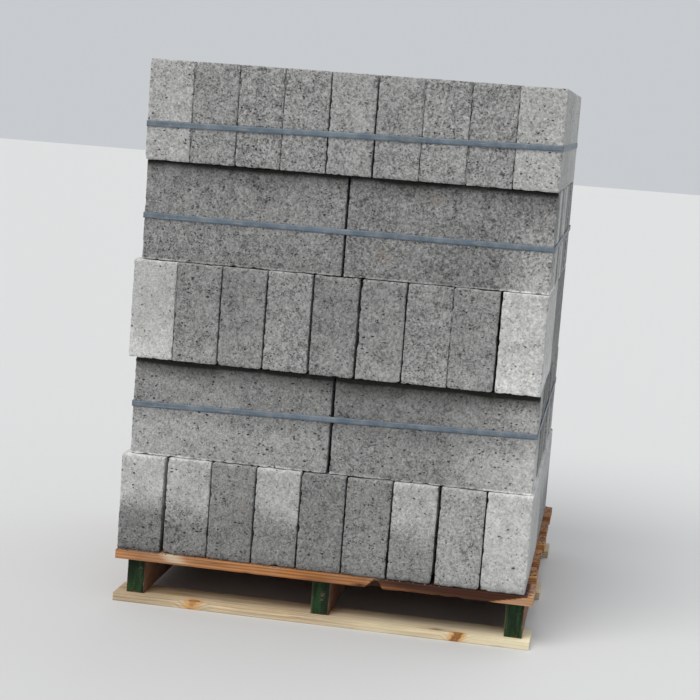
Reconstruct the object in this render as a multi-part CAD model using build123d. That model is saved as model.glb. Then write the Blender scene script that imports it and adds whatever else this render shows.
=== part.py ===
from build123d import *
from math import atan2, degrees, sin
import os

# A banded pack of solid concrete blocks on a two-way timber pallet.
# Millimetres. X runs along the front, Y into the depth, Z up. The origin is under the middle
# of the pallet, on the floor.

# One block
block_length = 440.0
block_height = 215.0
block_thickness = 97.5
block_arris = 1.5

# The blocks as they are set down
common_joint = 1.5
end_joint = 6.0
course_slip = 1.0
load_front_inset = 9.0
turned_course_setback = 14.0

# The pallet
pallet_length = 924.0
pallet_depth = 920.0
deck_thickness = 20.0
deck_widths = (118.0, 98.0, 122.0, 100.0, 112.0, 125.0)
deck_left_trims = (0.0, 3.0, 1.0, 4.0, 2.0, 3.0)
deck_right_trims = (0.0, 2.0, 4.0, 1.0, 3.0, 2.0)
bearer_width = 40.0
bearer_height = 78.0
bearer_end_setback = 20.0
left_bearer_inset = 25.0
right_bearer_inset = 18.0
bottom_board_width = 95.0
bottom_board_thickness = 18.0
sawn_arris = 1.0

# The piece that has split out of the lower edge of the front deck board
split_from_left = 579.0
split_length = 36.0
split_height = 17.0
split_depth = 14.0

# The plastic bands
strap_width = 12.0
strap_thickness = 0.8
strap_bend_radius = 2.0
strap_clearance = 0.3
weld_length = 32.0
weld_taper = 2.0

# As many blocks stand side by side as come nearest to two blocks end to end
blocks_side_by_side = round((2 * block_length + end_joint) / (block_thickness + common_joint))

deck_top = bottom_board_thickness + bearer_height + deck_thickness
pallet_left = -pallet_length / 2
pallet_right = pallet_length / 2
pallet_front = -pallet_depth / 2
pallet_back = pallet_depth / 2

# Each course from the deck up: whether its blocks are turned to lie along the front, how far its
# left side stands in from the end of the deck, and the joints between its blocks from the left
# of the front row, or from the front where the course is turned. The second row is set down from
# the other side, so it has the same joints the other way round.
courses = (
    dict(turned=False, inset=0.0, joints=(6.5, 2.0, 2.5, 2.5, 2.5, 3.0, 6.0, 2.0)),
    dict(turned=True, inset=13.0, joints=(1.0, 1.5, 1.0, 2.0, 1.0, 1.0, 1.5, 1.0)),
    dict(turned=False, inset=0.5, joints=(1.0, 2.0, 2.5, 4.0, 4.0, 2.0, 1.2, 4.0)),
    dict(turned=True, inset=13.0, joints=(1.5, 1.0, 1.0, 1.5, 1.0, 2.0, 1.0, 1.0)),
    dict(turned=False, inset=11.5, joints=(1.0, 1.0, 1.0, 1.5, 2.5, 1.0, 1.0, 1.0)),
)

# Corners that have been knocked off: the course, the row from the front or from the left, the
# block's place in that row, the corner (-1 or 1 along X, Y and Z) and how far the break reaches
# along X, Y and Z.
broken_corners = (
    dict(course=5, row=0, place=8, corner=(1, -1, 1), reach=(15.0, 12.0, 18.0)),
    dict(course=1, row=0, place=4, corner=(-1, -1, 1), reach=(12.0, 9.0, 13.0)),
    dict(course=1, row=0, place=8, corner=(-1, -1, -1), reach=(13.0, 12.0, 22.0)),
    dict(course=3, row=0, place=0, corner=(-1, -1, -1), reach=(9.0, 8.0, 12.0)),
    dict(course=2, row=1, place=0, corner=(1, -1, 1), reach=(16.0, 10.0, 12.0)),
    dict(course=5, row=1, place=2, corner=(-1, 1, 1), reach=(12.0, 20.0, 14.0)),
    dict(course=4, row=0, place=8, corner=(-1, 1, 1), reach=(18.0, 14.0, 13.0)),
)

# Each band: the course it holds, its height above the foot of that course at the left end and
# at the right end, and how far its weld is from the middle of the front (None where the weld is
# at the back).
straps = {
    "strap_lower": dict(course="course_2", left=111.0, right=128.0, weld=-18.0),
    "strap_upper": dict(course="course_4", left=95.0, right=96.0, weld=None),
    "strap_top": dict(course="course_5", left=77.0, right=92.0, weld=None),
}


def block(turned):
    """One solid block with its corner at the origin, its arrises worn off."""
    size_x, size_y = (block_length, block_thickness) if turned else (block_thickness, block_length)
    body = Box(size_x, size_y, block_height, align=(Align.MIN, Align.MIN, Align.MIN))
    return chamfer(body.edges(), block_arris)


def starts(joints):
    """Where each block of a row begins, counted from the first."""
    places = [0.0]
    for number in range(blocks_side_by_side - 1):
        places.append(places[-1] + block_thickness + joints[number % len(joints)])
    return places


def slip(number, row, place):
    """How far a block was pushed in or pulled out of line when it was set down."""
    return course_slip * sin(2.3 * place + 1.7 * row + 0.9 * number)


def knock_off(shape, corner, reach):
    """A block without one corner, broken off along the plane through a point on each arris."""
    box = shape.bounding_box()
    tip = [high if side > 0 else low for side, low, high in zip(corner, box.min, box.max)]
    points = []
    for axis in range(3):
        point = list(tip)
        point[axis] -= corner[axis] * reach[axis]
        points.append(Vector(*point))
    first, second = points[1] - points[0], points[2] - points[0]
    outwards = first.cross(second)
    if outwards.dot(Vector(*tip) - points[0]) < 0:
        outwards = -outwards
    return split(shape, bisect_by=Plane(origin=points[0], x_dir=first, z_dir=outwards), keep=Keep.BOTTOM)


def course_blocks(number, course):
    """The blocks of one course: two rows, each of blocks side by side."""
    whole = block(course["turned"])
    broken = {(each["row"], each["place"]): knock_off(whole, each["corner"], each["reach"])
              for each in broken_corners if each["course"] == number + 1}
    left = pallet_left + course["inset"]
    front = pallet_front + load_front_inset
    if course["turned"]:
        front += turned_course_setback
    foot = deck_top + number * block_height
    solids = []
    for row in range(2):
        joints = course["joints"] if row == 0 else course["joints"][::-1]
        along = row * (block_length + end_joint)
        for place, side in enumerate(starts(joints)):
            out = slip(number, row, place)
            shape = broken.get((row, place), whole)
            if course["turned"]:
                corner = (left + along + out, front + side, foot)
            else:
                corner = (left + side, front + along + out, foot)
            solids.append(Pos(*corner) * shape)
    return Compound(children=solids)


def board(left, right, front, width, foot, thickness):
    """A sawn board along X, with its long arrises taken off."""
    body = Box(right - left, width, thickness, align=(Align.MIN, Align.MIN, Align.MIN))
    body = chamfer(body.edges().filter_by(Axis.X), sawn_arris)
    return Pos(left, front, foot) * body


def deck_boards():
    """The deck boards, spaced evenly from the front of the pallet to its back."""
    gap = (pallet_depth - sum(deck_widths)) / (len(deck_widths) - 1)
    boards = []
    front = pallet_front
    for width, left_trim, right_trim in zip(deck_widths, deck_left_trims, deck_right_trims):
        boards.append(board(pallet_left + left_trim, pallet_right - right_trim, front, width,
                            deck_top - deck_thickness, deck_thickness))
        front += width + gap
    boards[0] -= edge_split()
    return boards


def edge_split():
    """The wedge that is missing from the lower edge of the front board."""
    half = split_length / 2
    outline = Polyline((-half, 0), (half, 0), (half * 0.2, split_height), (-half * 0.1, split_height),
                       close=True)
    wedge = extrude(Plane.XZ * make_face(outline), amount=-split_depth)
    return Pos(pallet_left + split_from_left, pallet_front, deck_top - deck_thickness) * wedge


def bearer(left):
    """A bearer that runs from front to back between the deck and the bottom boards."""
    depth = pallet_depth - 2 * bearer_end_setback
    body = Box(bearer_width, depth, bearer_height, align=(Align.MIN, Align.CENTER, Align.MIN))
    body = chamfer(body.edges().filter_by(Axis.Y), sawn_arris)
    return Pos(left, 0, bottom_board_thickness) * body


def bottom_board(front):
    """A bottom board, as long as the pallet."""
    return board(pallet_left, pallet_right, front, bottom_board_width, 0, bottom_board_thickness)


def strap(box, left_height, right_height, weld):
    """A closed band round one course, with the thicker lap where its ends are welded."""
    length = box.size.X + 2 * strap_clearance
    depth = box.size.Y + 2 * strap_clearance
    inside = RectangleRounded(length, depth, strap_bend_radius)
    outside = RectangleRounded(length + 2 * strap_thickness, depth + 2 * strap_thickness,
                               strap_bend_radius + strap_thickness)
    band = extrude(outside - inside, amount=strap_width / 2, both=True)
    lap = Polyline((-weld_length / 2, 0), (weld_length / 2, 0),
                   (weld_length / 2 - weld_taper, -strap_thickness),
                   (-weld_length / 2 + weld_taper, -strap_thickness), close=True)
    lap = extrude(make_face(lap), amount=strap_width / 2, both=True)
    face = depth / 2 + strap_thickness
    if weld is None:
        band += Pos(0, face, 0) * Rot(0, 0, 180) * lap
    else:
        band += Pos(weld, -face, 0) * lap
    slope = degrees(atan2(right_height - left_height, length))
    middle = box.min.Z + (left_height + right_height) / 2
    return Pos(box.center().X, box.center().Y, middle) * Rot(0, -slope, 0) * band


pieces = {}
for number, course in enumerate(courses):
    pieces[f"course_{number + 1}"] = course_blocks(number, course)

for number, piece in enumerate(deck_boards()):
    pieces[f"deck_board_{number + 1}"] = piece

pieces["bearer_left"] = bearer(pallet_left + left_bearer_inset)
pieces["bearer_centre"] = bearer(-bearer_width / 2)
pieces["bearer_right"] = bearer(pallet_right - right_bearer_inset - bearer_width)

pieces["bottom_board_front"] = bottom_board(pallet_front)
pieces["bottom_board_middle"] = bottom_board(-bottom_board_width / 2)
pieces["bottom_board_back"] = bottom_board(pallet_back - bottom_board_width)

for name, band in straps.items():
    held = pieces[band["course"]].bounding_box()
    pieces[name] = strap(held, band["left"], band["right"], band["weld"])

os.makedirs("parts", exist_ok=True)
for name, piece in pieces.items():
    export_step(piece, f"parts/{name}.step")
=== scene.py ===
import bpy
import bmesh
import math
import random
import numpy as np
from mathutils import Matrix, Quaternion, Vector, noise


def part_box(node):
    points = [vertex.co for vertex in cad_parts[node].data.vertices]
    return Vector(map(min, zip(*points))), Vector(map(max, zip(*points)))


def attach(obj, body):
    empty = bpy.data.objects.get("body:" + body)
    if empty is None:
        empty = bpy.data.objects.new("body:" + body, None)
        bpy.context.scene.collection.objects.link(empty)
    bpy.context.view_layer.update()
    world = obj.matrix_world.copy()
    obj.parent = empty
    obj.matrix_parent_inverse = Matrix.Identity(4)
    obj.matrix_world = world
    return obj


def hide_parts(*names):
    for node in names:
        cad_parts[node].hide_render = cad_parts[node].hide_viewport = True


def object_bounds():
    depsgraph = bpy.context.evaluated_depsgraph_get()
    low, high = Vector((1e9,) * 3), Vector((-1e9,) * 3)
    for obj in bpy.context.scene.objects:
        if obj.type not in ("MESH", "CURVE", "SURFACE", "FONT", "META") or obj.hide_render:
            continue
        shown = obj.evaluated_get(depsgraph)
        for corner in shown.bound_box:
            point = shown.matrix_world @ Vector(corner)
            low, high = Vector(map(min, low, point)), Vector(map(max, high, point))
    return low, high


# A banded pack of solid concrete blocks on a two-way timber pallet. Metres, in the frame's place:
# X along the front, Y into the depth, Z up.

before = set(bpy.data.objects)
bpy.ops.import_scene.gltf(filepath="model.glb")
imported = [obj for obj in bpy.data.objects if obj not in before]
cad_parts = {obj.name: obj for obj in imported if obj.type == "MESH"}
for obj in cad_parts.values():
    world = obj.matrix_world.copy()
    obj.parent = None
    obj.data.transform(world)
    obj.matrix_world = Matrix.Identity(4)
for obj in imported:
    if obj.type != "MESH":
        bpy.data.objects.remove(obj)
cad_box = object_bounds()

COURSES = [f"course_{number}" for number in range(1, 6)]
TURNED = {"course_2", "course_4"}
TOP_COURSE = "course_5"

# A block's mesh: its rounded arrises, and the spacing of its points on the faces that show
ARRIS_RADIUS = 0.0018
ARRIS_STEPS = 2
SIDE_GRID = 0.0041
TOP_COURSE_GRID = 0.0053
HIDDEN_GRID = 0.05

# How far inside a course's outline a face still counts as its outside, and the widest joint that is
# packed with fines
OUTER_REACH = 0.022
TIGHT_JOINT = 0.0013

# How light the concrete is. The fronts follow the photograph: the ends of nine blocks, or two
# blocks along the front. The first course has a second row for its damp feet.
FRONT_TONES = {
    "course_5": (0.345, 0.262, 0.262, 0.262, 0.272, 0.256, 0.266, 0.256, 0.345),
    "course_4": (0.212, 0.190),
    "course_3": (0.465, 0.262, 0.234, 0.284, 0.230, 0.262, 0.270, 0.262, 0.53),
    "course_2": (0.335, 0.29),
    "course_1": (0.42, 0.38, 0.20, 0.37, 0.190, 0.195, 0.37, 0.295, 0.43),
}
FOOT_TONES = (0.176, 0.196, 0.184, 0.205, 0.184, 0.205, 0.215, 0.295, 0.42)
OTHER_TONES = (0.20, 0.215, 0.225, 0.235, 0.24, 0.25, 0.26, 0.34, 0.40)

# Chips beside the joints of the front: the joint's number from the left, how far up the course,
# and the chip's length
FRONT_CHIPS = {
    "course_5": ((2, 0.80, 0.016), (3, 0.86, 0.020), (4, 0.28, 0.014), (4, 0.46, 0.011), (7, 0.30, 0.014)),
    "course_3": ((3, 0.12, 0.013), (5, 0.82, 0.013), (6, 0.93, 0.014), (8, 0.50, 0.019)),
    "course_1": ((2, 0.62, 0.012), (3, 0.55, 0.014), (4, 0.42, 0.023), (7, 0.10, 0.016)),
}

# How open and pitted the faces of each course are, from and to
OPENNESS = {"course_5": (0.8, 1.05), "course_4": (0.8, 1.1), "course_3": (0.7, 1.05),
            "course_2": (0.7, 1.0), "course_1": (0.6, 0.95)}

# How far a block's faces sink, swell and are dented, the radius of a worn arris with what broad,
# ragged and crumbled wear add to it, and how far from the arris the wear reaches
FACE_SINK, FACE_SWELL, FACE_DENT = 0.0003, 0.00025, 0.0022
ARRIS_WEAR, BROAD_WEAR, RAGGED_WEAR, CRUMBLED_WEAR = 0.0026, 0.0035, 0.013, 0.003
WEAR_REACH, SCUFF_REACH = 0.014, 0.006

# Chips in a block's arrises: how many, how long, how deep for their length, and the few large ones
CHIP_COUNT, CHIP_LENGTH, CHIP_DEPTH = (3, 7), (0.010, 0.024), (0.12, 0.22)
LARGE_CHIP, LARGE_CHIP_SHARE = 1.8, 0.15
FRONT_CHIP_DEPTH = 0.26

# Stains and painted light, as shares of a course's height: the damp foot of the first one, dirt and
# painted shade under an overhang with a painted shadow line at its top, painted light with pale dust
# at the foot beside a ledge, and a painted highlight along the top of a course
DAMP_TOP, DAMP_FADE = 0.62, 0.26
SHADE_DIRT_FROM, SHADE_DIRT_FADE = 0.76, 0.22
LINE_FROM, LINE_SHADE_AND_DIRT = 0.912, 1.3
DUST_AND_LIGHT_FOOT, PAINTED_HIGHLIGHT_TOP = 0.022, 0.985
FULL_OVERHANG = 0.012

# The fines in a tight joint: how far they reach over the blocks beside it, how deep they go, how far
# they end from the course's top and foot, and how far they lie behind the blocks' faces
FINES_LAP, FINES_DEPTH, FINES_END = 0.0020, 0.016, 0.004
FINES_INSET, FINES_SINK, FINES_HOLLOW = 0.0008, 0.0008, 0.0120

# How far a board's faces sink, ripple and wander, the radius of its arrises and what bites add to it
WOOD_SINK, WOOD_RIPPLE, WOOD_WANDER = 0.0003, 0.00028, 0.0003
WOOD_ARRIS, WOOD_BITE = 0.0012, 0.0050

# The split in the lower edge of the front deck board, from the board's left end, and the wane beside it
SPLIT_OUTLINE = (0.561, 0.578, 0.588, 0.597)
SPLIT_HEIGHT, SPLIT_DEPTH, SPLIT_TEAR = 0.017, 0.0145, 0.0026
WANE_FROM, WANE_TO, WANE_HEIGHT, WANE_DEPTH = 0.60, 0.80, 0.0030, 0.022

# A nail in a bottom board: its head, and the dent that the hammer left
NAIL_RADIUS, NAIL_HEIGHT, NAIL_RIM = 0.0038, 0.0016, 0.0005
DENT_RADIUS, DENT_DEPTH = 0.0105, 0.0016
NAIL_SHARES = (0.26, 0.74)

# The bands, their bends, their welds' crimps, and where along the front each weld is and on which side
STRAP_WIDTH, STRAP_THICKNESS, STRAP_BEND = 0.012, 0.0008, 0.0028
STRAP_GRID = 0.0032
WELD_LENGTH, WELD_TAPER = 0.032, 0.0022
CRIMP_PITCH, CRIMP_DEPTH, CRIMP_REACH, CRIMP_HEIGHT = 0.0048, 0.0004, 0.010, 0.0055
WELDS = {"strap_lower": (-0.018, -1), "strap_upper": (0.0, 1), "strap_top": (0.0, 1)}

# Read from the solids: how near an arris a point lies on it, the least break of a corner, and a
# length that tells one row of blocks from the next
ON_ARRIS, LEAST_BREAK, ROW_STEP = 0.002, 0.004, 0.05

BEARERS = ("bearer_left", "bearer_centre", "bearer_right")
BOTTOM_BOARDS = ("bottom_board_front", "bottom_board_middle", "bottom_board_back")


class Nodes:
    """Adds and links the nodes of one tree."""

    def __init__(self, tree):
        self.tree = tree

    def add(self, kind, inputs=None, **settings):
        node = self.tree.nodes.new("ShaderNode" + kind)
        for key, value in settings.items():
            setattr(node, key, value)
        for key, value in (inputs or {}).items():
            self.feed(value, node.inputs[key])
        return node

    def feed(self, value, socket):
        if isinstance(value, bpy.types.NodeSocket):
            self.tree.links.new(value, socket)
        elif isinstance(value, tuple) and socket.type == "RGBA":
            socket.default_value = (*value, 1.0)
        else:
            socket.default_value = value

    def group(self, tree, inputs):
        return self.add("Group", inputs, node_tree=tree)

    def attribute(self, name, output="Fac"):
        return self.add("Attribute", attribute_name=name).outputs[output]

    def math(self, operation, first, second=0.0, third=0.0, clamp=False):
        node = self.add("Math", {0: first, 1: second, 2: third}, operation=operation, use_clamp=clamp)
        return node.outputs[0]

    def times(self, first, second):
        return self.math("MULTIPLY", first, second)

    def scaled(self, value, factor, base):
        return self.math("MULTIPLY_ADD", value, factor, base)

    def swing(self, value, factor, base):
        """Moves base up or down, as the value lies above or below a half."""
        return self.scaled(self.math("SUBTRACT", value, 0.5), factor, base)

    def span(self, value, low, high, to_low=0.0, to_high=1.0):
        node = self.add("MapRange", {"Value": value, "From Min": low, "From Max": high,
                                     "To Min": to_low, "To Max": to_high},
                        interpolation_type="SMOOTHSTEP")
        return node.outputs["Result"]

    def mix(self, factor, first, second, blend="MIX"):
        node = self.add("Mix", {0: factor, 6: first, 7: second}, data_type="RGBA", blend_type=blend)
        return node.outputs[2]

    def noise(self, vector, scale, detail=2.0, roughness=0.5, distortion=0.0):
        node = self.add("TexNoise", {"Vector": vector, "Scale": scale, "Detail": detail,
                                     "Roughness": roughness, "Distortion": distortion})
        return node.outputs["Fac"]

    def stretch(self, vector, scale):
        node = self.add("Mapping", {"Vector": vector, "Scale": scale})
        return node.outputs["Vector"]

    def bump(self, height, strength, distance):
        node = self.add("Bump", {"Height": height, "Strength": strength, "Distance": distance})
        return node.outputs["Normal"]


def start_group(name, inputs, outputs):
    """An empty node group with named sockets, and its input and output nodes."""
    tree = bpy.data.node_groups.new(name, "ShaderNodeTree")
    for label, kind, value in inputs:
        socket = tree.interface.new_socket(label, in_out="INPUT", socket_type="NodeSocket" + kind)
        if value is not None:
            socket.default_value = value
    for label, kind in outputs:
        tree.interface.new_socket(label, in_out="OUTPUT", socket_type="NodeSocket" + kind)
    return Nodes(tree), tree.nodes.new("NodeGroupInput").outputs, tree.nodes.new("NodeGroupOutput").inputs


def pits_group():
    """Round pits or grains scattered over a surface: Mask is 1 inside one."""
    nodes, given, made = start_group(
        "pits",
        [("Vector", "Vector", None), ("Scale", "Float", 100.0), ("Share", "Float", 0.4),
         ("Radius", "Float", 0.3)],
        [("Mask", "Float")])
    wander = nodes.add("TexNoise", {"Vector": given["Vector"], "Scale": given["Scale"], "Detail": 1.0})
    shifted = nodes.add("VectorMath", {0: wander.outputs["Color"], 1: (0.006, 0.006, 0.006),
                                       2: given["Vector"]}, operation="MULTIPLY_ADD")
    cells = nodes.add("TexVoronoi", {"Vector": shifted.outputs[0], "Scale": given["Scale"]})
    parts = nodes.add("SeparateColor", {"Color": cells.outputs["Color"]})
    chosen = nodes.math("LESS_THAN", parts.outputs["Red"], given["Share"])
    size = nodes.scaled(parts.outputs["Green"], 0.9, 0.35)
    radius = nodes.times(size, given["Radius"])
    inner = nodes.times(radius, 0.45)
    depth = nodes.span(cells.outputs["Distance"], radius, inner)
    nodes.feed(nodes.times(depth, chosen), made["Mask"])
    return nodes.tree


def dust_group():
    """Pale dust that lies in patches over a colour."""
    nodes, given, made = start_group(
        "dust",
        [("Vector", "Vector", None), ("Color", "Color", (0.5, 0.5, 0.5, 1.0)),
         ("Dust", "Color", (0.42, 0.40, 0.37, 1.0)), ("Amount", "Float", 0.3), ("Scale", "Float", 14.0)],
        [("Color", "Color"), ("Mask", "Float")])
    patch = nodes.span(nodes.noise(given["Vector"], given["Scale"], 5.0, 0.65), 0.36, 0.68)
    grains = nodes.span(nodes.noise(given["Vector"], 420.0, 2.0, 0.6), 0.35, 0.65, 0.45, 1.0)
    mask = nodes.math("MULTIPLY", nodes.times(patch, grains), given["Amount"], clamp=True)
    nodes.feed(nodes.mix(mask, given["Color"], given["Dust"]), made["Color"])
    nodes.feed(mask, made["Mask"])
    return nodes.tree


def grain_group():
    """Growth rings, fibres and drying checks of sawn wood. X of Vector runs along the grain."""
    nodes, given, made = start_group(
        "grain",
        [("Vector", "Vector", None), ("Knot", "Float", 9.0), ("Ring Width", "Float", 0.0045),
         ("Wander", "Float", 0.012)],
        [("Rings", "Float"), ("Fibres", "Float"), ("Checks", "Float"), ("Stains", "Float")])
    cross = nodes.add("VectorMath", {0: given["Vector"], 1: (0.0, 1.0, 1.0)}, operation="MULTIPLY")
    from_pith = nodes.add("VectorMath", {0: cross.outputs[0], 1: (0.0, 0.021, -0.055)},
                          operation="DISTANCE")
    slow = nodes.noise(nodes.stretch(given["Vector"], (1.6, 7.0, 7.0)), 1.0, 3.0, 0.5)
    swirl = nodes.span(given["Knot"], 3.4, 0.4)
    radius = nodes.scaled(slow, given["Wander"], from_pith.outputs["Value"])
    radius = nodes.scaled(swirl, 0.011, radius)
    phase = nodes.math("DIVIDE", radius, given["Ring Width"])
    wave = nodes.math("SINE", nodes.times(phase, 2 * math.pi))
    rings = nodes.span(wave, -0.4, 1.0)
    fibres = nodes.noise(nodes.stretch(given["Vector"], (9.0, 420.0, 420.0)), 1.0, 3.0, 0.6)
    lines = nodes.noise(nodes.stretch(given["Vector"], (5.0, 190.0, 190.0)), 1.0, 2.0, 0.5)
    nodes.feed(rings, made["Rings"])
    nodes.feed(fibres, made["Fibres"])
    nodes.feed(nodes.span(lines, 0.705, 0.76), made["Checks"])
    nodes.feed(nodes.noise(nodes.stretch(given["Vector"], (5.0, 16.0, 16.0)), 1.0, 5.0, 0.6),
               made["Stains"])
    return nodes.tree


PITS = pits_group()
DUST = dust_group()
GRAIN = grain_group()


def new_material(name, roughness=0.8):
    """A material with one Principled shader, and its nodes."""
    material = bpy.data.materials.new(name)
    material.use_nodes = True
    shader = material.node_tree.nodes["Principled BSDF"].inputs
    shader["Roughness"].default_value = roughness
    return material, Nodes(material.node_tree), shader


def concrete_material():
    """Open-textured grey concrete, each block with its own tone, openness and pattern."""
    material, nodes, shader = new_material("open_textured_concrete", 0.94)
    place = nodes.attribute("block_place", "Vector")
    tone, openness, worn, shelter = map(nodes.attribute, ("tone", "openness", "worn", "shelter"))
    mottle = nodes.noise(place, 8.0, 4.0, 0.6)
    clusters = nodes.noise(place, 31.0, 4.0, 0.6)
    crumb = nodes.noise(place, 95.0, 3.0, 0.65)
    grit = nodes.noise(place, 240.0, 4.0, 0.75)
    cells = nodes.add("TexVoronoi", {"Vector": place, "Scale": 210.0})
    grain = nodes.add("SeparateColor", {"Color": cells.outputs["Color"]}).outputs["Blue"]

    hollow = nodes.noise(place, 140.0, 3.0, 0.7, 0.7)
    hollow = nodes.swing(clusters, 0.30, hollow)
    hollow = nodes.scaled(worn, -0.05, hollow)
    brink = nodes.scaled(openness, 0.085, 0.335)
    hollow = nodes.span(hollow, brink, nodes.math("SUBTRACT", brink, 0.07))
    crowd = nodes.times(nodes.span(clusters, 0.60, 0.36, 0.1, 0.5), openness)
    small = nodes.group(PITS, {"Vector": place, "Scale": 260.0, "Share": crowd, "Radius": 0.42})
    large = nodes.group(PITS, {"Vector": nodes.stretch(place, (0.8, 0.8, 1.25)), "Scale": 135.0,
                               "Share": nodes.times(crowd, 0.9), "Radius": 0.38})
    pits = nodes.math("MAXIMUM", nodes.times(small.outputs["Mask"], 0.7), large.outputs["Mask"])
    pits = nodes.math("MAXIMUM", pits, nodes.times(hollow, 0.55))

    fine = nodes.swing(grit, 3.1, nodes.swing(grain, 0.55, 0.0))
    fine = nodes.swing(crumb, 1.1, fine)
    value = nodes.swing(mottle, 0.62, 1.08)
    value = nodes.swing(clusters, 0.48, value)
    value = nodes.scaled(fine, nodes.scaled(openness, 0.62, 0.38), value)
    value = nodes.scaled(worn, 0.12, value)
    value = nodes.times(value, nodes.scaled(pits, -0.88, 1.0))
    value = nodes.math("MAXIMUM", nodes.times(value, tone), 0.010)
    grey = nodes.add("VectorMath", {0: (1.0, 0.995, 0.975), "Scale": value}, operation="SCALE").outputs[0]
    # Painted shade with dirt, patchy: near-black under the overhangs, with a painted shadow line at the top
    # of the courses beneath them
    stain = nodes.span(nodes.noise(place, 20.0, 4.0, 0.6), 0.25, 0.7, 0.75, 1.0)
    grey = nodes.mix(nodes.times(shelter, stain), grey, (0.012, 0.0115, 0.0080))
    rust = nodes.span(nodes.noise(place, 17.0, 3.0, 0.5), 0.69, 0.77, 0.0, 0.22)
    grey = nodes.mix(rust, grey, (0.27, 0.185, 0.12))
    nodes.feed(grey, shader["Base Color"])

    height = nodes.scaled(grit, 0.9, nodes.times(grain, 0.25))
    height = nodes.scaled(pits, -1.2, height)
    height = nodes.scaled(crumb, 0.9, height)
    nodes.feed(nodes.bump(height, 0.85, 0.0018), shader["Normal"])
    return material


def timber_material(name, early, late, stain, ring_width, dust, bare=(0.52, 0.40, 0.28), paint=None):
    """Sawn softwood. bare is its colour where it is clean, and paint the colour sprayed on its ends."""
    material, nodes, shader = new_material(name, 0.78)
    shader["Specular IOR Level"].default_value = 0.25
    place = nodes.attribute("board_place", "Vector")
    knot = nodes.attribute("knot")
    tint = nodes.attribute("tint")
    grain = nodes.group(GRAIN, {"Vector": place, "Knot": knot, "Ring Width": ring_width}).outputs
    colour = nodes.mix(grain["Rings"], early, late)
    fibres = nodes.span(grain["Fibres"], 0.3, 0.72, 0.72, 1.22)
    colour = nodes.mix(1.0, colour, nodes.add("CombineColor", {0: fibres, 1: fibres, 2: fibres}).outputs[0],
                       "MULTIPLY")
    colour = nodes.mix(nodes.span(grain["Stains"], 0.42, 0.68, 0.0, 0.55), colour, stain)
    colour = nodes.mix(nodes.span(tint, 0.5, 0.95), colour, (0.042, 0.0120, 0.0048))
    colour = nodes.mix(nodes.span(tint, 0.5, 0.0), colour, bare)
    ragged_knot = nodes.scaled(nodes.noise(place, 110.0, 3.0, 0.6), 0.6, nodes.math("SUBTRACT", knot, 0.3))
    heart = nodes.mix(nodes.span(ragged_knot, 0.85, 0.40), (0.24, 0.095, 0.025), (0.42, 0.185, 0.052))
    halo = nodes.times(nodes.span(knot, 2.3, 1.0), 0.85)
    colour = nodes.mix(halo, colour, (0.60, 0.31, 0.085))
    colour = nodes.mix(nodes.span(ragged_knot, 1.25, 0.85), colour, heart)
    colour = nodes.mix(nodes.times(grain["Checks"], 0.8), colour, (0.035, 0.020, 0.012))
    dusty = nodes.group(DUST, {"Vector": place, "Color": colour,
                               "Amount": nodes.span(tint, 0.5, 0.75, dust, 0.1 * dust)})
    colour = dusty.outputs["Color"]
    height = nodes.scaled(grain["Fibres"], 0.6, nodes.times(grain["Rings"], 0.35))
    height = nodes.scaled(grain["Checks"], -1.2, height)
    if paint:
        from_end = nodes.attribute("from_end")
        ragged = nodes.scaled(nodes.noise(place, 60.0, 4.0, 0.65), 0.016, -0.006)
        cover = nodes.span(nodes.math("SUBTRACT", from_end, ragged), 0.0035, 0.0)
        thin = nodes.span(nodes.noise(nodes.stretch(place, (1.0, 1.0, 0.2)), 130.0, 4.0, 0.7), 0.62, 0.84)
        cover = nodes.times(cover, nodes.scaled(thin, -0.5, 1.0))
        scuffed = nodes.math("ADD", nodes.attribute("arris"), nodes.noise(place, 55.0, 3.0, 0.6))
        scuffed = nodes.span(scuffed, 0.90, 1.15, 1.0, 0.25)
        cover = nodes.times(cover, scuffed)
        streaks = nodes.noise(nodes.stretch(place, (1.0, 90.0, 14.0)), 1.0, 4.0, 0.6)
        shade = nodes.mix(nodes.span(streaks, 0.42, 0.66), tuple(0.25 * part for part in paint), paint)
        colour = nodes.mix(cover, colour, shade)
        nodes.feed(nodes.scaled(cover, -0.15, 0.85), shader["Roughness"])
    else:
        nodes.feed(nodes.span(grain["Fibres"], 0.2, 0.8, 0.68, 0.9), shader["Roughness"])
    nodes.feed(colour, shader["Base Color"])
    nodes.feed(nodes.bump(height, 0.6, 0.0012), shader["Normal"])
    return material


def strap_material():
    """Slate-blue polyester strapping with an embossed face, scuffed and dusty."""
    material, nodes, shader = new_material("embossed_strapping", 0.42)
    place = nodes.attribute("strap_place", "Vector")
    wear = nodes.noise(nodes.stretch(place, (14.0, 160.0, 160.0)), 1.0, 4.0, 0.6)
    long_tone = nodes.noise(nodes.stretch(place, (5.0, 1.0, 1.0)), 1.0, 3.0, 0.5)
    colour = nodes.mix(nodes.span(long_tone, 0.35, 0.65), (0.064, 0.099, 0.136), (0.098, 0.143, 0.186))
    colour = nodes.mix(nodes.span(wear, 0.56, 0.74, 0.0, 0.6), colour, (0.30, 0.335, 0.36))
    dusty = nodes.group(DUST, {"Vector": place, "Color": colour, "Amount": 0.35, "Scale": 30.0})
    nodes.feed(dusty.outputs["Color"], shader["Base Color"])
    nodes.feed(nodes.scaled(dusty.outputs["Mask"], 0.5, 0.40), shader["Roughness"])
    parts = nodes.add("SeparateXYZ", {"Vector": place}).outputs
    ridges = []
    for operation in ("ADD", "SUBTRACT"):
        slant = nodes.math(operation, parts["X"], parts["Y"])
        ridges.append(nodes.math("SINE", nodes.times(slant, 3900.0)))
    emboss = nodes.times(*ridges)
    nodes.feed(nodes.bump(nodes.scaled(wear, 0.8, emboss), 0.35, 0.0003), shader["Normal"])
    return material


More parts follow.
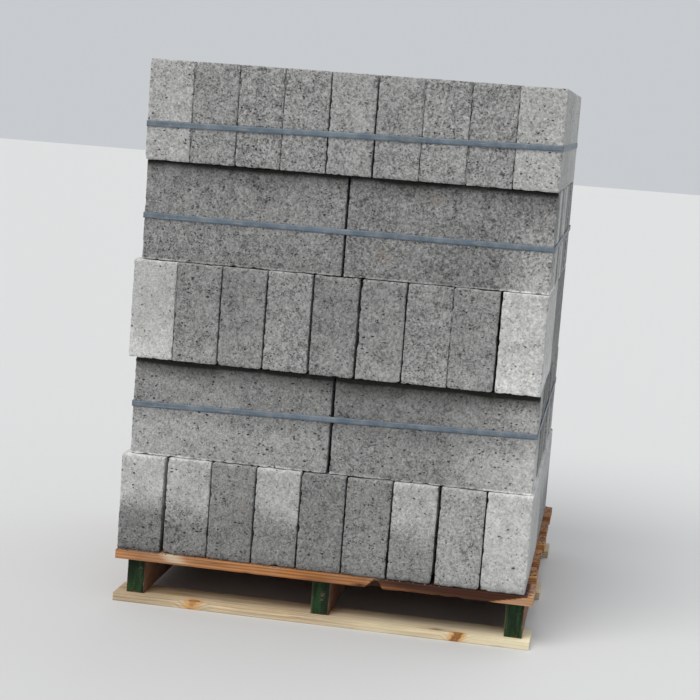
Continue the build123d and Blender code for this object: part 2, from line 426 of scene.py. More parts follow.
def nail_material():
    """Dull nail steel with brown rust."""
    material, nodes, shader = new_material("nail_steel", 0.5)
    place = nodes.add("TexCoord").outputs["Object"]
    rust = nodes.span(nodes.noise(place, 300.0, 4.0, 0.7), 0.42, 0.6)
    nodes.feed(nodes.mix(rust, (0.34, 0.34, 0.35), (0.16, 0.065, 0.03)), shader["Base Color"])
    nodes.feed(nodes.math("SUBTRACT", 1.0, rust), shader["Metallic"])
    nodes.feed(nodes.scaled(rust, 0.4, 0.45), shader["Roughness"])
    return material


def edges_along(bm, axis, shortest, longest=math.inf):
    """The edges whose reach along an axis lies between two lengths."""
    return [edge for edge in bm.edges
            if shortest < abs(edge.verts[0].co[axis] - edge.verts[1].co[axis]) < longest]


def round_edges(bm, edges, radius, steps):
    """Rounds edges to a radius."""
    bmesh.ops.bevel(bm, geom=edges, offset=radius, affect="EDGES", segments=steps, profile=0.5,
                    material=-1)


def blank(size, grids, radius, steps):
    """A box about the origin with rounded arrises and its faces divided. grids gives the spacing
    along X, Y and Z."""
    bm = bmesh.new()
    bmesh.ops.create_cube(bm, size=1.0)
    bmesh.ops.scale(bm, vec=size, verts=bm.verts[:])
    round_edges(bm, bm.edges[:], radius, steps)
    for axis in range(3):
        length = size[axis] - 2 * radius
        cuts = round(length / grids[axis]) - 1
        if cuts > 0:
            whole = edges_along(bm, axis, length - 1e-5, length + 1e-5)
            bmesh.ops.subdivide_edges(bm, edges=whole, cuts=cuts, use_grid_fill=True)
    return bm


def make_mesh(bm, name):
    """Puts a bmesh into a new mesh."""
    mesh = bpy.data.meshes.new(name)
    bm.to_mesh(mesh)
    bm.free()
    return mesh


def block_template(size, shown, grid):
    """A block about the origin, with a fine grid on the faces that show.

    shown holds (axis, side) pairs, such as (1, -1) for the front.
    """
    faced = {axis for axis, side in shown}
    grids = [grid if faced - {axis} else HIDDEN_GRID for axis in range(3)]
    bm = blank(size, grids, ARRIS_RADIUS, ARRIS_STEPS)
    for axis in range(3):
        for side in (-1, 1):
            if (axis, side) in shown:
                continue
            level = side * size[axis] / 2
            flat = [face for face in bm.faces
                    if all(abs(vert.co[axis] - level) < 1e-6 for vert in face.verts)]
            bmesh.ops.dissolve_faces(bm, faces=flat)
    return make_mesh(bm, "block_template")


def coordinates(mesh):
    """The vertices of a mesh as an array."""
    flat = np.empty(len(mesh.vertices) * 3, dtype=np.float32)
    mesh.vertices.foreach_get("co", flat)
    return flat.reshape(-1, 3).astype(np.float64)


def unit(values):
    """Values held between 0 and 1."""
    return np.clip(values, 0, 1)


def noise_at(points, scale, offset):
    """Smooth noise from about -1 to 1 at each point."""
    place = points * scale + np.array(offset)
    return np.array([noise.noise(point) for point in place.tolist()])


def sink_faces(co, half, depths):
    """Moves the points of flat faces inwards by their depths."""
    inset = half - np.abs(co)
    face = np.argmin(inset, axis=1)
    rows = np.arange(len(co))
    on_face = inset[rows, face] < 1e-5
    co[rows, face] -= np.where(on_face, np.sign(co[rows, face]) * np.clip(depths, 0.0, None), 0.0)


def pull_in(points, inset, radius):
    """How far each point near an arris moves inwards, so that the arris is rounded to a radius."""
    short = np.clip(radius[:, None] - inset, 0.0, None)
    reach = np.linalg.norm(short, axis=1)
    inwards = -np.sign(points) * short / np.maximum(reach, 1e-9)[:, None]
    return inwards * np.clip(reach - radius, 0.0, None)[:, None]


def round_arrises(co, half, offset):
    """Wears the arrises round, more in some places than in others. Returns how worn each point is."""
    inset = half - np.abs(co)
    second = np.sort(inset, axis=1)[:, 1]
    near = second < WEAR_REACH
    points = co[near]
    broad = noise_at(points, 24.0, offset)
    fine = noise_at(points, 88.0, offset)
    crumbs = noise_at(points, 210.0, offset)
    radius = (ARRIS_WEAR + BROAD_WEAR * unit(broad) + RAGGED_WEAR * unit(fine - 0.10)
              + CRUMBLED_WEAR * unit(crumbs))
    co[near] = points + pull_in(points, inset[near], radius)
    worn = np.zeros(len(co))
    worn[near] = unit(1.0 - second[near] / SCUFF_REACH) * unit(0.5 + broad + fine)
    return worn


def knock_arris(co, half, worn, where, length, depth):
    """Scoops a shell-shaped chip out of an arris at a point."""
    radius = length * length / (8.0 * depth)
    out = np.array(where) / half
    out = np.where(np.abs(out) > 0.98, np.sign(out), out * 0.25)
    out /= np.linalg.norm(out)
    centre = np.array(where) + out * (radius - depth)
    away = co - centre
    distance = np.linalg.norm(away, axis=1)
    inside = distance < radius
    if inside.any():
        rough = 1.0 + 0.06 * noise_at(co[inside], 190.0, where)
        co[inside] = centre + away[inside] / distance[inside, None] * (radius * rough)[:, None]
        worn[inside] = np.maximum(worn[inside], 0.5)


def break_corner(co, half, worn, signs, reach):
    """Breaks a corner off along the plane through a point on each of its arrises."""
    tip = signs * half
    normal = signs / reach
    normal /= np.linalg.norm(normal)
    level = normal @ (tip - np.array([signs[0] * reach[0], 0.0, 0.0]))
    over = co @ normal - level
    gone = over > 0.0
    rough = 0.0012 * np.clip(noise_at(co[gone], 130.0, tip), -0.2, 1)
    co[gone] -= normal * (over[gone] + rough)[:, None]
    worn[gone] = 0.6


def front_chips(name, number, half):
    """The chips in the two upright front arrises of a block: where, and how long."""
    chips = []
    if number < len(FRONT_TONES[name]):
        for joint, share, length in FRONT_CHIPS.get(name, ()):
            if joint in (number, number + 1):
                side = 1 if joint == number + 1 else -1
                chips.append(((side * half[0], -half[1], (2 * share - 1) * half[2]), length))
    return chips


def weather_block(co, half, dice, broken, chips):
    """Roughens the faces, wears the arrises and knocks chips out. Nothing ends up outside the block."""
    offset = [dice.uniform(-50, 50) for axis in range(3)]
    swell = noise_at(co, 14.0, offset)
    dents = noise_at(co, 120.0, offset)
    sink_faces(co, half, FACE_SINK + FACE_SWELL * swell + FACE_DENT * unit(dents - 0.36))
    worn = round_arrises(co, half, offset)
    for number in range(dice.randint(*CHIP_COUNT)):
        corner = [dice.choice((-1, 1)) * half[axis] for axis in range(3)]
        free = dice.choice((0, 1, 2, None))
        if free is not None:
            corner[free] = dice.uniform(-1, 1) * half[free]
        length = dice.uniform(*CHIP_LENGTH) * (LARGE_CHIP if dice.random() < LARGE_CHIP_SHARE else 1.0)
        knock_arris(co, half, worn, corner, length, length * dice.uniform(*CHIP_DEPTH))
    for where, length in chips:
        knock_arris(co, half, worn, where, length, length * FRONT_CHIP_DEPTH)
    for signs, reach in broken:
        break_corner(co, half, worn, signs, reach)
    np.clip(co, -half, half, out=co)
    return worn


def broken_corners(points, low, high):
    """The corners that a block's solid lacks, each with how far the break reaches along X, Y and Z."""
    found = []
    for signs in ((x, y, z) for x in (-1, 1) for y in (-1, 1) for z in (-1, 1)):
        tip = np.array([high[axis] if signs[axis] > 0 else low[axis] for axis in range(3)])
        away = np.abs(points - tip)
        reach = np.zeros(3)
        for axis in range(3):
            beside = [other for other in range(3) if other != axis]
            on_arris = (away[:, beside] < ON_ARRIS).all(axis=1)
            reach[axis] = away[on_arris, axis].min()
        if reach.min() > LEAST_BREAK:
            found.append((np.array(signs), reach))
    return found


def course_blocks(name):
    """The box and the broken corners of each block, read from the solids of its node, row by row."""
    bm = bmesh.new()
    bm.from_mesh(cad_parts[name].data)
    bmesh.ops.remove_doubles(bm, verts=bm.verts[:], dist=1e-5)
    unseen = set(bm.verts)
    blocks = []
    while unseen:
        waiting = [unseen.pop()]
        island = []
        while waiting:
            vert = waiting.pop()
            island.append(vert.co.copy())
            for edge in vert.link_edges:
                other = edge.other_vert(vert)
                if other in unseen:
                    unseen.remove(other)
                    waiting.append(other)
        low, high = Vector(map(min, *island)), Vector(map(max, *island))
        blocks.append((low, high, broken_corners(np.array(island), low, high)))
    bm.free()
    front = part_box(name)[0].y
    return sorted(blocks, key=lambda block: (round((block[0].y - front) / ROW_STEP), block[0].x))


def overhang_dirt_and_shade(name, height, insets, waver):
    """How dark each point is painted under the overhangs of the course above: dirt where they keep rain
    off, with painted shade, and a near-black painted shadow line, partly dirt, at the top.
    """
    low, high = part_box(name)
    over_low, over_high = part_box(COURSES[COURSES.index(name) + 1])
    overhangs = (low.x - over_low.x, over_high.x - high.x, low.y - over_low.y, over_high.y - high.y)
    strength, line_fade = (0.46, 0.07) if name == "course_4" else (0.94, 0.05)
    # Painted shade with dirt in a band under the overhang, and a near-black painted shadow line above it
    band = unit((height + waver * 0.5 - SHADE_DIRT_FROM) / SHADE_DIRT_FADE)
    line = unit((height + waver * 0.12 - LINE_FROM) / line_fade)
    dirt_and_shadow = np.maximum(band ** 1.2 * strength, LINE_SHADE_AND_DIRT * line)
    most = np.zeros(len(height))
    for inset, overhang in zip(insets, overhangs):
        share = min(max(overhang / FULL_OVERHANG, 0.0), 1.0)
        most = np.maximum(most, unit(1.0 - inset / OUTER_REACH) ** 0.3 * share * dirt_and_shadow)
    return most


def course_shade(name, in_front, height, lean, waver):
    """How much lighter or darker than its blocks' own tones a course is at each point: painted light
    with pale dust at the feet of the turned courses, a painted highlight along the top of the first and
    third courses, darker stretches, and the paler right ends of the turned courses."""
    shade = np.ones(len(height))
    if name in TURNED:
        # Painted light, with some pale dust, at the foot of a turned course beside the ledge below it
        shade *= 1.0 + 1.5 * unit((DUST_AND_LIGHT_FOOT - height) / 0.016)
    elif name != TOP_COURSE:
        # A painted highlight along the top of the first and third courses
        shade *= 1.0 + 0.22 * unit((height - PAINTED_HIGHLIGHT_TOP) / 0.01)
    if name == "course_3":
        shade *= np.interp(height + waver * 0.5, (0.1, 0.45), (1.0, 0.84))
    if name == "course_2":
        shade *= 1.0 - 0.28 * unit((height + waver * 0.5 - 0.32) / 0.16)
        if in_front:
            shade *= np.interp(lean, (0.0, 0.5, 0.78, 1.0), (1.0, 0.78, 0.78, 1.53))
    if name == "course_4" and in_front:
        shade *= 1.0 + 1.3 * unit((lean - 0.86) / 0.10) * unit(0.8 - height)
    return shade


def shade_block(name, number, world, dice):
    """How light a block is at each point, and how much dirt lies there."""
    low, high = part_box(name)
    height = (world[:, 2] - low.z) / (high.z - low.z)
    lean = (world[:, 0] - low.x) / (high.x - low.x)
    insets = (world[:, 0] - low.x, high.x - world[:, 0], world[:, 1] - low.y, high.y - world[:, 1])
    side = unit(1.0 - np.minimum.reduce(insets) / OUTER_REACH) ** 0.3
    waver = 0.10 * noise_at(world, 14.0, (3.0, number, 7.0))
    fronts = FRONT_TONES[name]
    in_front = number < len(fronts)
    tone = np.full(len(world), fronts[number] if in_front else dice.choice(OTHER_TONES))
    shelter = np.zeros(len(world))
    if name == "course_1":
        foot = FOOT_TONES[number] if in_front else min(tone[0], dice.uniform(0.17, 0.25))
        damp = unit((DAMP_TOP + waver * 1.2 - height) / DAMP_FADE)
        tone = tone * (1 - damp) + foot * damp
        # Darker towards the first course's foot on its outer faces, where it meets the deck
        shelter = side * unit((0.10 - height) / 0.10) * 0.3
    if name != TOP_COURSE:
        shelter = np.maximum(shelter, overhang_dirt_and_shade(name, height, insets, waver))
    return tone * course_shade(name, in_front, height, lean, waver), shelter


def write_attributes(mesh, **fields):
    """Stores a number or a vector for each vertex under each name."""
    for name, values in fields.items():
        kind, field = ("FLOAT_VECTOR", "vector") if values.ndim == 2 else ("FLOAT", "value")
        attribute = mesh.attributes.new(name, kind, "POINT")
        attribute.data.foreach_set(field, values.astype(np.float32).ravel())


def write_concrete(mesh, place, tone, openness, worn, shelter):
    """Stores what the concrete material reads."""
    write_attributes(mesh, block_place=place, tone=tone, openness=openness, worn=worn, shelter=shelter)


def packed_joints(name, blocks):
    """Fines that the tightest joints of a course are packed with, sunk here and there."""
    if name == "course_1":
        return []
    across, outwards = (1, 0) if name in TURNED else (0, 1)
    low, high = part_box(name)
    dice = random.Random(name)
    meshes = []
    for side in (-1, 1):
        edge = low if side < 0 else high
        row = [block for block in blocks
               if abs((block[0] if side < 0 else block[1])[outwards] - edge[outwards]) < OUTER_REACH]
        row.sort(key=lambda block: block[0][across])
        for near, far in zip(row, row[1:]):
            gap = far[0][across] - near[1][across]
            if gap > TIGHT_JOINT:
                continue
            faces = [(block[0] if side < 0 else block[1])[outwards] for block in (near, far)]
            face = max(faces) if side < 0 else min(faces)
            size = [0.0, 0.0, near[1].z - near[0].z - 2 * FINES_END]
            size[across] = gap + 2 * FINES_LAP
            size[outwards] = FINES_DEPTH
            grids = [0.004, 0.004, 0.0042]
            grids[across] = size[across] / 3
            mesh = make_mesh(blank(size, grids, 0.0004, 1), "packed_joint")
            co = coordinates(mesh)
            offset = [dice.uniform(-30, 30) for axis in range(3)]
            sunk = FINES_SINK + FINES_HOLLOW * unit(noise_at(co, 75.0, offset) + 0.08) ** 0.8
            front = side * co[:, outwards] > 0
            co[:, outwards] -= np.where(front, side * sunk, 0.0)
            centre = np.array([0.0, 0.0, (near[0].z + near[1].z) / 2])
            centre[across] = (near[1][across] + far[0][across]) / 2
            centre[outwards] = face - side * (size[outwards] / 2 + FINES_INSET)
            world = co + centre
            mesh.vertices.foreach_set("co", world.astype(np.float32).ravel())
            none = np.zeros(len(co))
            write_concrete(mesh, co + np.array(offset), none + 0.19, none + 0.8, none, none)
            meshes.append(mesh)
    return meshes


def build_course(name, material):
    """All the blocks of one course as one piece."""
    low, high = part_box(name)
    grid = TOP_COURSE_GRID if name == TOP_COURSE else SIDE_GRID
    templates = {}
    blocks = course_blocks(name)
    meshes = packed_joints(name, blocks)
    for number, (near, far, broken) in enumerate(blocks):
        size = tuple(round(value, 5) for value in far - near)
        shown = set()
        for axis in range(2):
            if near[axis] - low[axis] < OUTER_REACH:
                shown.add((axis, -1))
            if high[axis] - far[axis] < OUTER_REACH:
                shown.add((axis, 1))
        if name == TOP_COURSE:
            shown.add((2, 1))
        key = (size, frozenset(shown))
        if key not in templates:
            templates[key] = block_template(size, shown, grid)
        mesh = templates[key].copy()
        dice = random.Random(1000 * COURSES.index(name) + number)
        co = coordinates(mesh)
        half = np.array(size) / 2
        worn = weather_block(co, half, dice, broken, front_chips(name, number, half))
        world = co + np.array((near + far) / 2)
        tone, shelter = shade_block(name, number, world, dice)
        mesh.vertices.foreach_set("co", world.astype(np.float32).ravel())
        shift = np.array([dice.uniform(-20, 20) for axis in range(3)])
        openness = np.full(len(co), dice.uniform(*OPENNESS[name]))
        openness *= np.interp(tone, (0.27, 0.38), (1.0, 0.35))
        write_concrete(mesh, co + shift, tone, openness, worn, shelter)
        meshes.append(mesh)
    piece = join_meshes(name + "_blocks", meshes)
    for template in templates.values():
        bpy.data.meshes.remove(template)
    finish_piece(piece, [material], "concrete", name)


def build_crumbs(material):
    """Crumbs of concrete that lie on the deck round the foot of the load, and on its top."""
    dice = random.Random(5)
    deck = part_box("deck_board_1")[1].z
    foot_low, foot_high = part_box("course_1")
    top_low, top_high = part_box(TOP_COURSE)
    boards = [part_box(name) for name in deck_boards()]
    places = []
    for number in range(110):
        crowd = dice.choice((0.03, 0.05, 0.07, 0.36, 0.5, 0.72, dice.random()))
        share = min(max(crowd + dice.gauss(0, 0.05), 0.004), 0.99)
        places.append((foot_low.x + (foot_high.x - foot_low.x) * share,
                       foot_low.y - dice.uniform(0.0012, 0.0075), deck, dice.uniform(0.0007, 0.0022)))
    for number in range(90):
        places.append((foot_high.x + dice.uniform(0.002, 0.018),
                       dice.choice([dice.uniform(near.y + 0.006, far.y - 0.006) for near, far in boards]),
                       deck, dice.uniform(0.0008, 0.0024)))
    for number in range(90):
        places.append((dice.uniform(top_low.x + 0.04, top_high.x - 0.04),
                       dice.uniform(top_low.y + 0.12, top_high.y - 0.04), top_high.z - 0.0004,
                       dice.uniform(0.0008, 0.0026)))
    meshes = []
    for x, y, z, radius in places:
        bm = bmesh.new()
        bmesh.ops.create_icosphere(bm, subdivisions=1, radius=radius)
        for vert in bm.verts:
            vert.co *= dice.uniform(0.75, 1.2)
            vert.co.z *= 0.7
        lowest = min(vert.co.z for vert in bm.verts)
        bmesh.ops.translate(bm, vec=(x, y, z - lowest - 0.0003), verts=bm.verts[:])
        mesh = make_mesh(bm, "crumb")
        none = np.zeros(len(mesh.vertices))
        write_concrete(mesh, coordinates(mesh), none + dice.uniform(0.08, 0.19), none, none, none)
        meshes.append(mesh)
    finish_piece(join_meshes("concrete_crumbs", meshes), [material], "concrete")


def deck_boards():
    """The names of the deck boards, from the front to the back."""
    return sorted(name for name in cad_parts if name.startswith("deck_board_"))


def knot_distance(place, knots):
    """Distance of each point from the nearest knot, in radii. A knot is longer along the grain, and
    leans as it goes through the board."""
    nearest = np.full(len(place), 9.0)
    for along, side, radius in knots:
        lean = 0.45 * (place[:, 2] - 0.009)
        away = np.hypot((place[:, 0] - along - lean) / 1.5, place[:, 1] - side) / radius
        nearest = np.minimum(nearest, away)
    return nearest


def some_knots(dice, farthest):
    """Three knots, at most so far across a board."""
    return [(dice.uniform(0.05, 0.9), dice.uniform(0.01, farthest), dice.uniform(0.006, 0.012))
            for number in range(3)]


def dress_board(node, grids, slot, materials, knots, tint=0.5, lengthwise=0, shapes=(), extra=()):
    """A sawn board or bearer in the place of its node. lengthwise is the axis that the grain follows,
    knots are (along, across, radius) from its low corner, shapes are functions that change its points
    and tints, and extra holds meshes that join it."""
    low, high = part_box(node)
    size = high - low
    middle = np.array((low + high) / 2)
    half = np.array(size) / 2
    dice = random.Random(node)
    mesh = make_mesh(blank(size, grids, WOOD_ARRIS, 2), node + "_wood")
    co = coordinates(mesh)
    offset = [dice.uniform(-40, 40) for axis in range(3)]
    stretched = co.copy()
    stretched[:, lengthwise] *= 0.06
    ripple = noise_at(stretched, 170.0, offset)
    broad = noise_at(co, 9.0, offset)
    sink_faces(co, half, WOOD_SINK + WOOD_RIPPLE * ripple + WOOD_WANDER * broad)
    inset = half - np.abs(co)
    arris = unit(1.0 - np.sort(inset, axis=1)[:, 1] / 0.0024)
    bites = noise_at(co, 45.0, offset)
    co += pull_in(co, inset, WOOD_ARRIS + WOOD_BITE * unit(bites - 0.18))
    np.clip(co, -half, half, out=co)
    tints = np.full(len(co), tint) + 0.16 * noise_at(co, 5.0, offset)
    world = co + middle
    for shape in shapes:
        shape(world, tints)
    place = (world - np.array(low))[:, [lengthwise, 1 - lengthwise, 2]]
    from_end = np.minimum(place[:, 0], size[lengthwise] - place[:, 0])
    mesh.vertices.foreach_set("co", world.astype(np.float32).ravel())
    shift = np.array([dice.uniform(-9, 9), dice.uniform(-0.03, 0.03), dice.uniform(-0.03, 0.0)])
    write_attributes(mesh, knot=knot_distance(place, knots), board_place=place + shift,
                     tint=unit(tints), from_end=from_end, arris=arris)
    finish_piece(join_meshes(node + "_wood", [mesh, *extra]), materials, slot, node)


def split_front_board(world, tints):
    """Breaks the lower edge of the front board as in the photograph, and colours its length."""
    low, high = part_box("deck_board_1")
    along = world[:, 0] - low.x
    back = world[:, 1] - low.y
    torn = SPLIT_TEAR * noise_at(world * np.array([1.0, 0.4, 0.0]), 300.0, (5.0, 1.0, 0.0))
    outline = np.interp(along + torn, SPLIT_OUTLINE, (0.0, SPLIT_HEIGHT, SPLIT_HEIGHT, 0.0))
    wedge = outline * unit((SPLIT_DEPTH - back) / 0.005)
    ragged = 0.5 + noise_at(world * np.array([1.0, 0.0, 0.0]), 42.0, (1.0, 2.0, 3.0))
    wane = WANE_HEIGHT * unit(ragged) * unit((along - WANE_FROM) / 0.03)
    wane *= unit((WANE_TO - along) / 0.03) * unit((WANE_DEPTH - back) / WANE_DEPTH)
    beside_split = (outline > 0.0003) & (back < 0.024) & (world[:, 2] < low.z + outline + 0.0024)
    roof = low.z + np.maximum(wedge, wane)
    world[:, 2] = np.maximum(world[:, 2], np.minimum(roof, high.z - 0.002))
    rise = (world[:, 2] - low.z) / (high.z - low.z)
    splinter = unit(1.0 - np.abs(along - 0.125 - 0.02 * (1 - rise)) / 0.032)
    tints -= 0.48 * splinter * (rise > 0.3)
    tints += 0.26 * np.interp(along, (0.36, 0.43, 0.56, 0.575), (0.0, 1.0, 1.0, 0.0))
    tints += 0.25 * np.interp(along, (0.525, 0.55, 0.57), (0.0, 1.0, 0.0)) * (rise < 0.35)
    # The right part darkens towards the board's top: dark red-brown wood, with dirt and painted shade on
    # its upper half
    dark = unit((along - 0.570) / 0.022)
    dark *= np.interp(rise, (0.30, 0.70), (0.40, 0.52))
    tints += dark * np.interp(along, (0.60, 0.80), (0.9, 1.15))
    bare = unit((along - 0.825 - 0.085 * rise) / 0.008)
    tints += bare * (0.33 - tints)
    tints[beside_split] = 0.95


def dent_nails(places):
    """A function that presses nail heads into the underside of a board."""
    def press(world, tints):
        for x, y in places:
            away = np.hypot(world[:, 0] - x, world[:, 1] - y)
            hollow = DENT_DEPTH * unit((DENT_RADIUS - away) / 0.004)
            world[:, 2] = np.where(world[:, 2] < 0.004, world[:, 2] + hollow, world[:, 2])
    return press


def tone_front_board(world, tints):
    """Makes the left end of the front bottom board darker than the right, and adds a dark streak that
    runs into the right knot."""
    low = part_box("bottom_board_front")[0]
    along = world[:, 0] - low.x
    back = world[:, 1] - low.y
    tints += np.interp(along, (0.0, 0.35, 0.92), (0.17, 0.05, -0.30))
    streak = unit(1.0 - np.abs(along - 0.722) / 0.045)
    tints += 0.70 * streak * unit(1.0 - np.abs(back - 0.016) / 0.009)


def nail_heads(places):
    """Nail heads on the underside of a board, each a low disc with a rounded rim."""
    meshes = []
    for x, y in places:
        bm = bmesh.new()
        bmesh.ops.create_cone(bm, cap_ends=True, segments=16, radius1=NAIL_RADIUS, radius2=NAIL_RADIUS,
                              depth=NAIL_HEIGHT)
        rim = [edge for edge in bm.edges if all(vert.co.z < 0 for vert in edge.verts)]
        round_edges(bm, rim, NAIL_RIM, 2)
        bmesh.ops.translate(bm, vec=(x, y, 0.0013), verts=bm.verts[:])
        for face in bm.faces:
            face.material_index = 1
        meshes.append(make_mesh(bm, "nail_head"))
    return meshes


def nail_places(board, dice):
    """Where two nails go through a bottom board into each bearer."""
    low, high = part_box(board)
    places = []
    for bearer in BEARERS:
        middle = (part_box(bearer)[0].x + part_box(bearer)[1].x) / 2
        for share in NAIL_SHARES:
            places.append((middle + dice.uniform(-0.006, 0.006),
                           low.y + (high.y - low.y) * share + dice.uniform(-0.005, 0.005)))
    return places


def build_deck(dice):
    """The deck boards. The front one is split."""
    wood = timber_material("red_brown_deck_wood", early=(0.445, 0.195, 0.064), late=(0.31, 0.113, 0.035),
                           stain=(0.16, 0.062, 0.026), ring_width=0.0052, dust=0.14)
    for name in deck_boards():
        low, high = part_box(name)
        if name == "deck_board_1":
            dress_board(name, (0.0033, 0.006, 0.0026), "deck_wood", [wood],
                        knots=((0.34, 0.05, 0.009), (0.83, 0.03, 0.010)), tint=0.42,
                        shapes=[split_front_board])
            continue
        knots = some_knots(dice, high.y - low.y - 0.01)
        dress_board(name, (0.009, 0.0065, 0.005), "deck_wood", [wood], knots, tint=dice.uniform(0.30, 0.62))


def build_bearers(dice):
    """The bearers, their ends painted green."""
    wood = timber_material("brown_bearer_wood", early=(0.27, 0.130, 0.068), late=(0.19, 0.078, 0.037),
                           stain=(0.10, 0.052, 0.032), ring_width=0.0048, dust=0.22,
                           paint=(0.016, 0.053, 0.015))
    for name in BEARERS:
        knots = [(dice.uniform(0.08, 0.8), 0.02, dice.uniform(0.006, 0.011)) for number in range(2)]
        dress_board(name, (0.005, 0.009, 0.0055), "bearer_wood", [wood], knots, lengthwise=1)


def build_bottom_boards(dice):
    """The bottom boards and the nails that hold them."""
    nail_steel = nail_material()
    wood = timber_material("pale_pine", early=(0.60, 0.485, 0.33), late=(0.50, 0.355, 0.19),
                           stain=(0.36, 0.29, 0.20), ring_width=0.0058, dust=0.14, bare=(0.80, 0.72, 0.50))
    for name in BOTTOM_BOARDS:
        places = nail_places(name, dice)
        shapes = [dent_nails(places)]
        if name == "bottom_board_front":
            knots = ((0.180, 0.009, 0.0086), (0.766, 0.005, 0.0074), (0.47, 0.07, 0.007))
            shapes.append(tone_front_board)
        else:
            knots = some_knots(dice, 0.085)
        dress_board(name, (0.0075, 0.0055, 0.0036), "base_wood", [wood, nail_steel], knots, tint=0.44,
                    shapes=shapes, extra=nail_heads(places))


def end_heights(node):
    """Middle height of a band at its left and its right end, read from the band's node."""
    points = coordinates(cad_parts[node].data)
    left = points[points[:, 0] < points[:, 0].min() + 0.0015, 2]
    right = points[points[:, 0] > points[:, 0].max() - 0.0015, 2]
    return (left.min() + left.max()) / 2, (right.min() + right.max()) / 2


def build_strap(node, material):
    """A closed flat band with its welded lap."""
    low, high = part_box(node)
    left, right = end_heights(node)
    weld, weld_side = WELDS[node]
    front = low.y + (STRAP_THICKNESS if weld_side < 0 else 0.0)
    back = high.y - (STRAP_THICKNESS if weld_side > 0 else 0.0)
    length, depth = high.x - low.x - 0.0002, back - front
    bm = bmesh.new()
    bmesh.ops.create_cube(bm, size=1.0)
    bmesh.ops.scale(bm, vec=(length, depth, STRAP_WIDTH), verts=bm.verts[:])
    round_edges(bm, edges_along(bm, 2, 0.001), STRAP_BEND, 5)
    ends = [face for face in bm.faces if abs(face.normal.z) > 0.9]
    bmesh.ops.delete(bm, geom=ends, context="FACES_ONLY")
    for axis, reach in ((0, length), (1, depth)):
        bmesh.ops.subdivide_edges(bm, edges=edges_along(bm, axis, reach * 0.9),
                                  cuts=int(reach / STRAP_GRID), use_grid_fill=True)
    bmesh.ops.subdivide_edges(bm, edges=edges_along(bm, 2, 0.001), cuts=3, use_grid_fill=True)
    bmesh.ops.recalc_face_normals(bm, faces=bm.faces[:])
    bmesh.ops.solidify(bm, geom=bm.faces[:], thickness=STRAP_THICKNESS)
    bmesh.ops.recalc_face_normals(bm, faces=bm.faces[:])
    mesh = make_mesh(bm, node)
    co = coordinates(mesh)
    outer = (np.abs(co[:, 1]) > depth / 2 - STRAP_THICKNESS * 0.6) & (np.sign(co[:, 1]) == weld_side)
    from_weld = np.abs(co[:, 0] - weld)
    lap = unit((WELD_LENGTH / 2 - from_weld) / WELD_TAPER)
    crimps = 0.5 + 0.5 * np.cos(co[:, 0] * 2 * math.pi / CRIMP_PITCH)
    grip = unit((CRIMP_REACH - from_weld) / 0.002)
    grip *= unit(1 - np.abs(co[:, 2]) / CRIMP_HEIGHT)
    rise = lap * STRAP_THICKNESS - crimps * grip * CRIMP_DEPTH
    co[:, 1] += np.where(outer, weld_side * rise, 0.0)
    place = np.stack([co[:, 0] + co[:, 1], co[:, 2], np.zeros(len(co))], axis=1)
    slope = math.atan2(right - left, high.x - low.x)
    turn = np.array(Matrix.Rotation(-slope, 3, "Y"))
    middle = np.array([(low.x + high.x) / 2, (front + back) / 2, (left + right) / 2])
    world = co @ turn.T + middle
    world = np.clip(world, np.array(low), np.array(high))
    mesh.vertices.foreach_set("co", world.astype(np.float32).ravel())
    write_attributes(mesh, strap_place=place)
    finish_piece(join_meshes(node + "_band", [mesh]), [material], "strap", node)


def join_meshes(name, meshes):
    """One object from several meshes, their attributes kept."""
    objects = []
    for mesh in meshes:
        obj = bpy.data.objects.new(name, mesh)
        bpy.context.collection.objects.link(obj)
        objects.append(obj)
    bpy.ops.object.select_all(action="DESELECT")
    for obj in objects:
        obj.select_set(True)
    bpy.context.view_layer.objects.active = objects[0]
    if len(objects) > 1:
        bpy.ops.object.join()
    piece = bpy.context.view_layer.objects.active
    piece.name = name
    return piece


def finish_piece(piece, materials, slot, *nodes):
    """Gives a piece its materials and its place in the model, and hides the nodes that it stands for."""
    for material in materials:
        piece.data.materials.append(material)
    piece.data.shade_smooth()
    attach(piece, "root")
    if nodes:
        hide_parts(*nodes)


def add_sun(name, towards, strength, spread, colour):
    """A broad soft light from far away, like a bright patch of cloud."""
    data = bpy.data.lights.new(name, "SUN")
    data.energy = strength
    data.angle = math.radians(spread)
    data.color = colour
    lamp = bpy.data.objects.new(name, data)
    lamp.rotation_euler = Vector(towards).to_track_quat("Z", "Y").to_euler()
    bpy.context.collection.objects.link(lamp)


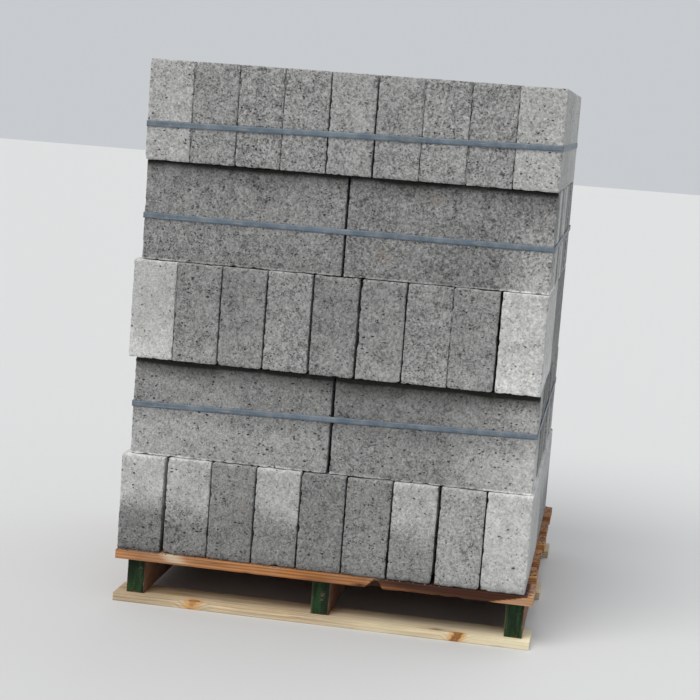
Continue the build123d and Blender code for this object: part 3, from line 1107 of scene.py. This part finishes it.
def build_studio():
    """A plain pale floor, soft light and a pale surround."""
    bm = bmesh.new()
    bmesh.ops.create_grid(bm, x_segments=1, y_segments=1, size=30.0)
    mesh = make_mesh(bm, "studio_floor")
    floor = bpy.data.objects.new("studio_floor", mesh)
    bpy.context.collection.objects.link(floor)
    material, nodes, shader = new_material("pale_floor", 0.75)
    shader["Base Color"].default_value = (0.56, 0.56, 0.555, 1.0)
    mesh.materials.append(material)
    world = bpy.context.scene.world or bpy.data.worlds.new("studio")
    bpy.context.scene.world = world
    world.use_nodes = True
    background = world.node_tree.nodes["Background"].inputs
    background["Color"].default_value = (0.93, 0.96, 1.0, 1.0)
    background["Strength"].default_value = 0.62
    bpy.context.scene.view_settings.view_transform = "Standard"
    add_sun("sky_key", (-0.40, -0.80, 1.30), 2.3, 40.0, (1.0, 0.985, 0.96))
    add_sun("back_fill", (0.45, 0.85, 0.85), 0.6, 60.0, (0.93, 0.96, 1.0))


# The camera stands where the photograph was taken, a little right of the pack and about level with
# its top course, and leans as the photograph does.
CAMERA_RIGHT, CAMERA_FROM_FRONT, CAMERA_HEIGHT = 0.578, 3.65, 1.115
CAMERA_AIM, CAMERA_ROLL = (-0.043, 0.0, 0.545), math.radians(4.4)
CAMERA_LENS = 90.0


def build_camera():
    """Sets up the photograph's view."""
    data = bpy.data.cameras.new("camera")
    data.lens = CAMERA_LENS
    data.sensor_width = 36.0
    data.clip_start, data.clip_end = 0.05, 100.0
    camera = bpy.data.objects.new("camera", data)
    camera.location = (CAMERA_RIGHT, cad_box[0].y - CAMERA_FROM_FRONT, CAMERA_HEIGHT)
    look = (Vector(CAMERA_AIM) - camera.location).to_track_quat("-Z", "Y")
    camera.rotation_mode = "QUATERNION"
    camera.rotation_quaternion = look @ Quaternion((0.0, 0.0, 1.0), CAMERA_ROLL)
    bpy.context.collection.objects.link(camera)
    bpy.context.scene.camera = camera


build_camera()
build_studio()
concrete = concrete_material()
for course in COURSES:
    build_course(course, concrete)
build_crumbs(concrete)
pallet_dice = random.Random(8)
build_deck(pallet_dice)
build_bearers(pallet_dice)
build_bottom_boards(pallet_dice)
strapping = strap_material()
for band in WELDS:
    build_strap(band, strapping)
